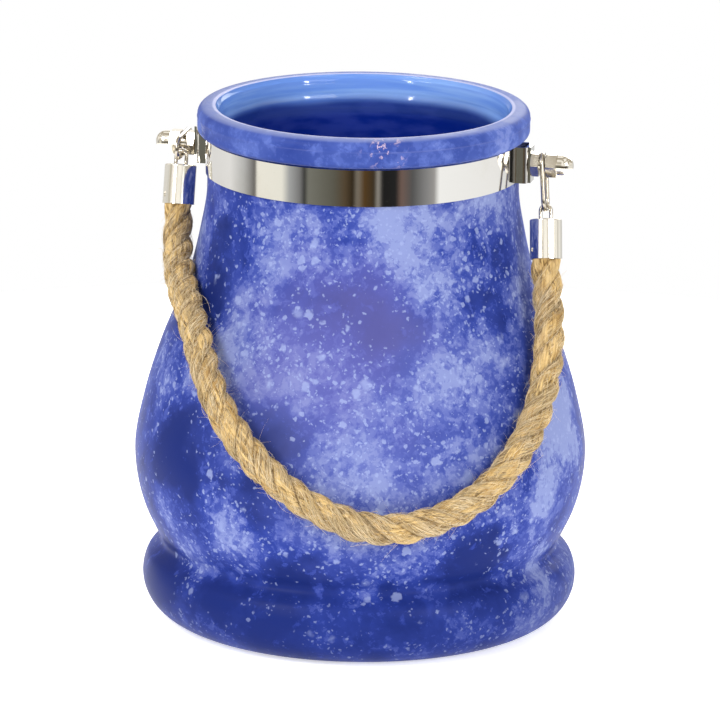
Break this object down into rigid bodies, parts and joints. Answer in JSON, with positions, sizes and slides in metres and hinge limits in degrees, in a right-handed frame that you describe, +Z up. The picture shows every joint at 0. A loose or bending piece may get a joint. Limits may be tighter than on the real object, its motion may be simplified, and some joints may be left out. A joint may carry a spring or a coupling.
{
  "type": "candle lantern",
  "caption": "Frosted blue glass jar lantern with a rolled foot, a polished steel neck band and a swinging rope handle on side bolts.",
  "frame": {"origin": "centre of the base, on the surface that the jar stands on", "axes": "+Z up; X along the two pivot bolts, +X to the right of the front; the handle rests on the front, -Y"},
  "size_m": [0.16, 0.1708, 0.1843],
  "materials": {
    "frosted_glass": "frosted cobalt blue outside, gloss inside",
    "polished_steel": "mirror polished",
    "plated_hardware": "bright plated",
    "plated_wire": "bright plated wire",
    "nickel_cap": "satin nickel plate",
    "jute_rope": "three-strand twisted jute, hairy"
  },
  "bodies": {
    "jar": {"glass_jar": "frosted_glass", "band_front": "polished_steel", "band_rear": "polished_steel", "left_bolt": "plated_hardware", "right_bolt": "plated_hardware", "left_jam_nut": "plated_hardware", "right_jam_nut": "plated_hardware", "left_acorn_nut": "plated_hardware", "right_acorn_nut": "plated_hardware"},
    "handle": {"handle_rope": "jute_rope", "left_cap": "nickel_cap", "right_cap": "nickel_cap", "left_cap_eye": "plated_wire", "right_cap_eye": "plated_wire"},
    "left_link": {"left_link": "plated_wire"},
    "right_link": {"right_link": "plated_wire"}
  },
  "joints": [
    {"name": "handle_swing", "type": "hinge", "parent": "jar", "child": "handle", "pos_m": [0, 0, 0.167], "axis": [-1, 0, 0], "range_deg": [0, 260]},
    {"name": "left_link_swing", "type": "hinge", "parent": "jar", "child": "left_link", "pos_m": [-0.0647, 0, 0.167], "axis": [-1, 0, 0], "range_deg": [0, 260]},
    {"name": "right_link_swing", "type": "hinge", "parent": "jar", "child": "right_link", "pos_m": [0.0647, 0, 0.167], "axis": [-1, 0, 0], "range_deg": [0, 260]}
  ],
  "couplings": [
    {"joint": "left_link_swing", "follows": "handle_swing", "ratio": 1},
    {"joint": "right_link_swing", "follows": "handle_swing", "ratio": 1}
  ]
}
